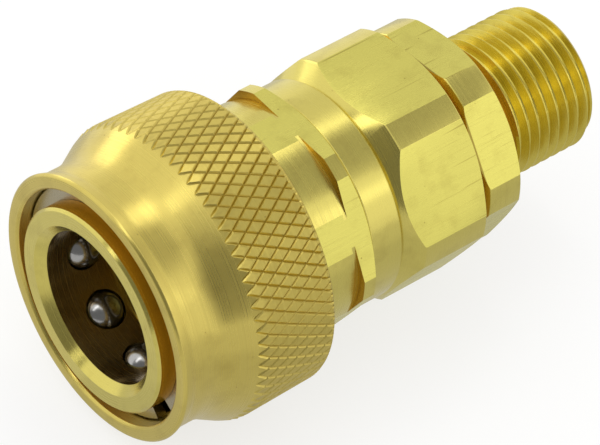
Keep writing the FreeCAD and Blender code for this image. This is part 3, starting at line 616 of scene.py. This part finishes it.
def make_finishes(settings, knurl):
    """Make each finish from its colour, with the depth of the knurl."""
    tarnish_and_groove_shade = settings.tarnish_and_groove_shade
    # yellow metal with a soft sheen, which the lathe's rings draw out into bands
    brass("turned brass", settings.brass, tarnish_and_groove_shade)
    # greener flats with faint lines and a few dark scratches along the bar
    brass("drawn brass", settings.drawn, tarnish_and_groove_shade, drawn=True)
    # amber of painted shade in necks, gaps and the seam's crescents, where brass mirrors brass
    brass("filmed brass", settings.amber_shade, tarnish_and_groove_shade)
    # painted shade: the bore's brown depth, which leaves the balls as the bright spots of the mouth
    brass("bore brass in painted shade", settings.bore, tarnish_and_groove_shade)
    # painted reflection: deeper gold on the flanks between the bright lines of the thread's crests, where
    # they mirror each other
    brass("thread brass with painted reflection", settings.cut, tarnish_and_groove_shade)
    # painted reflection: the nose's orange band in the gap, a little cloudy so that it takes up light
    brass("oiled brass", settings.gap_reflection, tarnish_and_groove_shade, metal=0.76)
    # matt bright diamonds with brown lines of painted shade between them, and a smoother flare
    brass("knurled brass", settings.sleeve, tarnish_and_groove_shade, roughness=(0.23, 0.38), groove=knurl)
    # small sharp highlights
    plain_metal("polished steel", settings.steel, roughness=0.2, grain=0.3)
    # dull wire, its grey warmed with a painted reflection of the brass around it
    plain_metal("spring steel", settings.spring_steel, roughness=0.3, grain=0.2)
    # soft pinkish sheen
    plain_metal("soft copper", settings.copper, roughness=0.35, grain=0.4)
    # near black with a wide faint highlight
    soft_material("nitrile rubber", settings.rubber, roughness=0.45, ior=1.52, grain=0.15)
    # waxy white
    soft_material("white fluoropolymer", settings.plastic, roughness=0.5, ior=1.38, grain=0.3)


def finishes():
    """Return the finishes by name, made when they are first asked for."""
    if "turned brass" not in bpy.data.materials:
        scene = bpy.context.scene
        make_finishes(scene.coupling_finish, scene.coupling_sleeve.groove_depth / MM)
    return bpy.data.materials


def barrel_radius(along):
    """Radius over the sleeve's crest and barrel at a station."""
    if along < BARREL_FRONT[0]:
        return CREST_CENTRE[1] + math.sqrt(CREST_RADIUS ** 2 - (along - CREST_CENTRE[0]) ** 2)
    return BARREL_FRONT[1] + BARREL_SLOPE * (along - BARREL_FRONT[0])


class COUPLING_OT_sleeve(bpy.types.Operator):
    """Build the pull-back sleeve with its diamond knurl"""

    bl_idname = "coupling.sleeve"
    bl_label = "Knurled Sleeve"

    def execute(self, context):
        settings = context.scene.coupling_sleeve
        row_length, width, depth = (
            value / MM for value in (settings.row_length, settings.groove_width, settings.groove_depth))
        turned = Matrix.Rotation(settings.phase, 3, AXIS)
        bm = bmesh.new()
        # a plain barrel of cells, each poked so that its diagonals are the grooves
        stations = [KNURL_FRONT + row_length * row for row in range(settings.rows + 1)]
        points = [turned @ Vector((along, barrel_radius(along), 0)) for along in stations]
        spin(bm, wire(bm, points), settings.columns)
        sides = [edge for edge in bm.edges if not edge.is_boundary]
        bmesh.ops.poke(bm, faces=bm.faces[:])
        bmesh.ops.dissolve_edges(bm, edges=sides, use_verts=False)
        groove = BARREL_FRONT[1] - depth
        turn_to(bm.verts, lambda along: min(
            barrel_radius(along), groove + BARREL_SLOPE * (along - BARREL_FRONT[0])))
        diamonds = bm.faces[:]
        bmesh.ops.inset_individual(bm, faces=diamonds, thickness=width / 2, use_even_offset=True)
        turn_to({vert for face in diamonds for vert in face.verts}, barrel_radius)
        cut_off(bm, AXIS * KNURL_REAR, AXIS)
        # the front edge gets as many points as the smooth flare it meets
        bmesh.ops.subdivide_edges(bm, edges=open_rim(bm, KNURL_FRONT), cuts=FLARE_STEPS - 1)
        turn_to({vert for edge in open_rim(bm, KNURL_FRONT) for vert in edge.verts}, barrel_radius)
        rear = open_rim(bm, KNURL_REAR)
        for along, out in SLEEVE_EDGE:
            rear = extrude_to(bm, rear, along, out)
        start = Vector((KNURL_FRONT, barrel_radius(KNURL_FRONT), 0))
        section = [turned @ point for point in [start] + rounded_section(SLEEVE_SECTION)]
        spin(bm, wire(bm, section), settings.columns * FLARE_STEPS)
        merge(bm, MERGE)
        bmesh.ops.bridge_loops(bm, edges=open_rim(bm, SLEEVE_REAR))
        finish_piece(bm, "knurled_sleeve", "sleeve", "turned_brass", ["knurled brass"], "release_sleeve")
        return {"FINISHED"}


class COUPLING_OT_valve_body(bpy.types.Operator):
    """Build the valve body: round collar and wrench hexagon"""

    bl_idname = "coupling.valve_body"
    bl_label = "Valve Body"

    def execute(self, context):
        settings = context.scene.coupling_hexagons
        materials = ["turned brass", "drawn brass"]
        bm = bmesh.new()
        spin(bm, wire(bm, rounded_section(VALVE_SECTION), closed=True), VALVE_STEPS)
        merge(bm, FINE_MERGE)
        mill_hexagon(bm, settings.valve_flats / MM, 0.0, materials.index("drawn brass"))
        break_edges(bm, settings.edge / MM, *VALVE_CRISP)
        finish_piece(bm, "hexagon_body", "body", "turned_brass", materials, "valve_body")
        return {"FINISHED"}


def threaded_shank(pitch, crest, depth):
    """Wind one groove of the thread past both ends of the shank, cut it to length and bore it."""
    bm = bmesh.new()
    turns = math.ceil((THREAD_REAR - THREAD_FRONT) / pitch) + THREAD_SPARE
    start = THREAD_FRONT - THREAD_RUN_IN * pitch
    groove = wire(bm, [Vector((start + pitch * a, crest - depth * d, 0)) for a, d in THREAD_GROOVE])
    spin(bm, groove, THREAD_STEPS * turns, TURN * turns, pitch / THREAD_STEPS)
    merge(bm, FINE_MERGE)
    cut_off(bm, AXIS * THREAD_FRONT, -AXIS)
    cut_off(bm, AXIS * THREAD_REAR, AXIS)
    # the thread runs out at 45 degrees into the neck in front and into the chamfer behind
    for vert in bm.verts:
        along = vert.co.x
        limit = min(crest - depth + along - THREAD_FRONT, crest - THREAD_CHAMFER + THREAD_REAR - along)
        if vert.co.yz.length > limit:
            turn_to([vert], lambda _: limit)
    end = open_rim(bm, THREAD_REAR)
    for along, out in ((THREAD_REAR, OUTLET_RADIUS + OUTLET_CHAMFER),
                       (THREAD_REAR - OUTLET_CHAMFER, OUTLET_RADIUS), (SHANK_BORE_FRONT, OUTLET_RADIUS)):
        end = extrude_to(bm, end, along, out)
    shank = bpy.data.meshes.new("shank")
    bm.to_mesh(shank)
    bm.free()
    return shank


class COUPLING_OT_adapter(bpy.types.Operator):
    """Build the adapter: smaller hexagon and male thread"""

    bl_idname = "coupling.adapter"
    bl_label = "Threaded Adapter"

    def execute(self, context):
        settings = context.scene.coupling_thread
        pitch, crest, depth = (
            value / MM for value in (settings.pitch, settings.crest_radius, settings.depth))
        hexagons = context.scene.coupling_hexagons
        materials = ["turned brass", "drawn brass", "filmed brass", "thread brass with painted reflection"]
        bm = bmesh.new()
        spin(bm, wire(bm, rounded_section(ADAPTER_SECTION)), ADAPTER_STEPS)
        merge(bm, FINE_MERGE)
        mill_hexagon(bm, hexagons.adapter_flats / MM, hexagons.adapter_turn, materials.index("drawn brass"))
        shank = threaded_shank(pitch, crest, depth)
        bm.from_mesh(shank)
        bpy.data.meshes.remove(shank)
        for radius in (NECK_RADIUS, OUTLET_RADIUS):
            sort_mesh(bm)
            loops = [edge for edge in open_edges(bm, *JOIN_STATIONS)
                     if abs(edge.verts[0].co.yz.length - radius) < JOIN_REACH]
            bmesh.ops.bridge_loops(bm, edges=loops)
        # painted shade in the seam and the neck, and painted reflection on the thread's flanks, so that the
        # thread is bright only along its crests
        amber_shade, cut = materials.index("filmed brass"), materials.index("thread brass with painted reflection")
        finish_band(bm, amber_shade, *SEAM_SHADE)
        finish_band(
            bm, cut, THREAD_FRONT, THREAD_REAR, crest - depth - FLANK_REACH, crest - CREST_REACH)
        finish_band(bm, amber_shade, *NECK_SHADE)
        finish_piece(bm, "threaded_adapter", "body", "turned_brass", materials, "male_adapter")
        return {"FINISHED"}


class COUPLING_OT_springs(bpy.types.Operator):
    """Wind the sleeve spring and the poppet spring"""

    bl_idname = "coupling.springs"
    bl_label = "Coil Springs"

    def execute(self, context):
        settings = context.scene.coupling_springs
        thick = settings.wire / MM
        for row, turns in zip(SPRINGS, (settings.sleeve_turns, settings.poppet_turns)):
            name, node, joint, front, rear, seat, radius = row
            bm = bmesh.new()
            made = bmesh.ops.create_circle(bm, cap_ends=False, radius=thick / 2, segments=WIRE_SIDES)
            bmesh.ops.translate(bm, vec=(front + thick / 2, radius, 0), verts=made["verts"])
            steps = round(COIL_STEPS * turns)
            spin(bm, bm.verts[:] + bm.edges[:], steps, TURN * turns, (rear - front - thick) / steps)
            bmesh.ops.holes_fill(bm, edges=bm.edges[:])
            piece = finish_piece(bm, name, "body", "spring_steel", ["spring steel"], node)
            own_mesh(piece)
        return {"FINISHED"}


class COUPLING_OT_finishes(bpy.types.Operator):
    """Give the carried-over pieces their finishes"""

    bl_idname = "coupling.finishes"
    bl_label = "Finishes"

    def execute(self, context):
        made = finishes()
        worn = {
            "turned_brass": "turned brass", "polished_steel": "polished steel",
            "spring_steel": "spring steel", "black_rubber": "nitrile rubber",
            "white_plastic": "white fluoropolymer", "soft_copper": "soft copper",
        }
        for row in frame["record"]["subparts"]:
            mesh = frame["nodes"][row["node"]].data
            mesh.materials.clear()
            mesh.materials.append(made[worn[row["material_slot"]]])
        # the socket body keeps the drawn flats of its bar, and has painted shade in its bore and on the
        # collar's front, and a painted reflection on its nose
        names = ("turned brass", "drawn brass", "filmed brass", "bore brass in painted shade", "oiled brass")
        _, drawn, amber_shade, darkened, gap_reflection = range(len(names))
        mesh = frame["nodes"]["socket_body"].data
        for name in names[1:]:
            mesh.materials.append(made[name])
        for face in mesh.polygons:
            middle = face.center / MM
            out = middle.yz.length
            outward = face.normal.yz.dot(middle.yz) / out
            # faces turned to the axis get the bore's painted shade
            if outward < -FACING:
                face.material_index = darkened
            elif abs(face.normal.x) < LEVEL and abs(face.normal.dot(middle) - WRENCH_FLAT) < FLUSH:
                face.material_index = drawn
            elif outward > FACING and out < NOSE_RADIUS + NOSE_REACH:
                face.material_index = gap_reflection
            elif abs(middle.x - COLLAR_FRONT) < FLUSH:
                face.material_index = amber_shade
        return {"FINISHED"}


def seen_background(tree):
    """One for the rays that show the background: to the camera, off metal and through glass."""
    path = add(tree, "ShaderNodeLightPath").outputs
    seen = path["Is Camera Ray"]
    for kind in ("Is Glossy Ray", "Is Transmission Ray"):
        seen = add(tree, "ShaderNodeMath", {0: seen, 1: path[kind]}, operation="MAXIMUM").outputs[0]
    return seen


def aimed(azimuth, elevation, distance):
    """Place at a bearing from the middle of the coupling, facing it."""
    turn, rise = math.radians(azimuth), math.radians(elevation)
    away = Vector((math.cos(rise) * math.cos(turn), math.cos(rise) * math.sin(turn), math.sin(rise)))
    return Matrix.Translation(MIDDLE + away * distance) @ away.to_track_quat("Z", "Y").to_matrix().to_4x4()


def lay_sheet(name, place, material):
    """Lay a flat sheet, one metre square before its place is applied, beside the coupling."""
    bm = bmesh.new()
    bmesh.ops.create_grid(bm, x_segments=1, y_segments=1, size=0.5, matrix=place)
    mesh = bpy.data.meshes.new(name)
    bm.to_mesh(mesh)
    bm.free()
    mesh.materials.append(material)
    sheet = bpy.data.objects.new(name, mesh)
    bpy.context.scene.collection.objects.link(sheet)
    return sheet


def lay_floor(settings, height):
    """Lay white paper that keeps the coupling's shadow and fades into the background."""
    paper, tree, glow, output = glowing_material("white paper", 1.0)
    share = add(tree, "ShaderNodeMath", {0: seen_background(tree), 1: PAPER_GLOW}, operation="MULTIPLY")
    matt = add(tree, "ShaderNodeBsdfDiffuse", {"Color": (*settings.floor, 1)}).outputs[0]
    mixed = add(tree, "ShaderNodeMixShader", {0: share.outputs[0], 1: matt, 2: glow}).outputs[0]
    tree.links.new(mixed, output.inputs["Surface"])
    spread = Matrix.Diagonal((FLOOR_SIZE, FLOOR_SIZE, 1, 1))
    lay_sheet("floor", Matrix.Translation((0, 0, height)) @ spread, paper)


def light_world(scene):
    """Surround the coupling with white, a little brighter as light than as seen."""
    world = bpy.data.worlds.new("studio")
    scene.world = world
    world.use_nodes = True
    tree = world.node_tree
    tree.nodes.clear()
    level = add(tree, "ShaderNodeMapRange", {
        "Value": seen_background(tree), "To Min": SKY_LIGHT, "To Max": SKY_SEEN}).outputs[0]
    sky = add(tree, "ShaderNodeBackground", {"Color": WHITE, "Strength": level}).outputs[0]
    add(tree, "ShaderNodeOutputWorld", {"Surface": sky})


def hang_lamps(scene, settings):
    """Hang the lamps, given by bearing, width, height and what each adds to the white behind it."""
    for name, azimuth, elevation, width, height, extra in (
            # a softbox with a brighter core in front on the right
            ("softbox", -57, 24, 0.12, 0.2, settings.softbox),
            ("core", -58, 27, 0.12, 0.05, settings.core),
            # a lamp high on the left, and one low behind
            ("lamp", 168, 45, 0.05, 0.17, settings.lamp),
            ("backlight", 96, 14, 0.14, 0.1, settings.backlight),
            # two over the thread
            ("skylight", 27, 55, 0.055, 0.06, settings.skylight),
            ("glint", 45, 72, 0.09, 0.09, settings.glint)):
        light = bpy.data.lights.new(name, "AREA")
        light.shape = "RECTANGLE"
        light.size, light.size_y = width, height
        light.energy = extra * math.pi * width * height
        source = bpy.data.objects.new(name, light)
        source.matrix_world = aimed(azimuth, elevation, LAMP_DISTANCE)
        scene.collection.objects.link(source)


def hang_cards(settings, floor_height):
    """Set up what the metal mirrors beyond the picture, as cards that only reflections see."""
    on_floor = Vector((0, 0, floor_height))
    for name, place, width, height, level in (
            ("overhead", aimed(-26, 61, CARD_DISTANCE), 0.24, 0.2, settings.overhead),
            ("wall", aimed(52, 38, CARD_DISTANCE), 0.2, 0.18, settings.wall),
            ("room", aimed(-148, 18, CARD_DISTANCE), 0.72, 0.46, settings.room),
            # the table and the shade are painted shade of the floor near the coupling
            ("table", Matrix.Translation(on_floor + TABLE_PLACE), 0.4, 0.3, settings.table),
            ("shade", Matrix.Translation(on_floor + SHADE_PLACE), 0.09, 0.06, settings.shade)):
        cloth = glowing_material(name, level)[0]
        card = lay_sheet(name, place @ Matrix.Diagonal((width, height, 1, 1)), cloth)
        card.visible_camera = card.visible_diffuse = card.visible_shadow = False


def set_camera(scene, settings):
    """Set the camera where the picture was taken from."""
    lens = bpy.data.cameras.new("camera")
    lens.lens = settings.focal
    lens.sensor_width = SENSOR_WIDTH
    lens.clip_start, lens.clip_end = CLIP
    camera = bpy.data.objects.new("camera", lens)
    up = CAMERA_RIGHT.cross(CAMERA_AHEAD)
    turned = Matrix((CAMERA_RIGHT, up, -CAMERA_AHEAD)).transposed()
    camera.matrix_world = Matrix.Translation(CAMERA_PLACE) @ turned.to_4x4()
    scene.collection.objects.link(camera)
    scene.camera = camera


class COUPLING_OT_stage(bpy.types.Operator):
    """Lay the floor and set the lamps and the camera"""

    bl_idname = "coupling.stage"
    bl_label = "Stage"

    def execute(self, context):
        scene = context.scene
        settings = scene.coupling_stage
        scene.view_settings.view_transform = "Standard"
        floor_height = CAD_BOX[0].z - FLOOR_GAP
        lay_floor(settings, floor_height)
        light_world(scene)
        hang_lamps(scene, settings)
        hang_cards(settings, floor_height)
        set_camera(scene, settings)
        return {"FINISHED"}


OPERATORS = (
    COUPLING_OT_finishes,
    COUPLING_OT_sleeve,
    COUPLING_OT_valve_body,
    COUPLING_OT_adapter,
    COUPLING_OT_springs,
    COUPLING_OT_stage,
)
SETTINGS = {
    "coupling_sleeve": CouplingSleeveSettings,
    "coupling_hexagons": CouplingHexagonSettings,
    "coupling_thread": CouplingThreadSettings,
    "coupling_springs": CouplingSpringSettings,
    "coupling_finish": CouplingFinishSettings,
    "coupling_stage": CouplingStageSettings,
}


class COUPLING_PT_panel(bpy.types.Panel):
    """Sizes, colours and builders of the coupling"""

    bl_label = "Coupling Socket"
    bl_idname = "COUPLING_PT_panel"
    bl_space_type = "VIEW_3D"
    bl_region_type = "UI"
    bl_category = "Coupling"

    def draw(self, context):
        for name, group in SETTINGS.items():
            box = self.layout.box()
            for prop in group.__annotations__:
                box.prop(getattr(context.scene, name), prop)
        for operator in OPERATORS:
            self.layout.operator(operator.bl_idname)


CLASSES = (*SETTINGS.values(), *OPERATORS, COUPLING_PT_panel)


def register():
    for item in CLASSES:
        bpy.utils.register_class(item)
    for name, group in SETTINGS.items():
        setattr(bpy.types.Scene, name, bpy.props.PointerProperty(type=group))


def unregister():
    for name in SETTINGS:
        delattr(bpy.types.Scene, name)
    for item in reversed(CLASSES):
        bpy.utils.unregister_class(item)


def main():
    register()
    bpy.ops.coupling.finishes()
    bpy.ops.coupling.sleeve()
    bpy.ops.coupling.valve_body()
    bpy.ops.coupling.adapter()
    bpy.ops.coupling.springs()
    bpy.ops.coupling.stage()


if __name__ == "__main__":
    main()
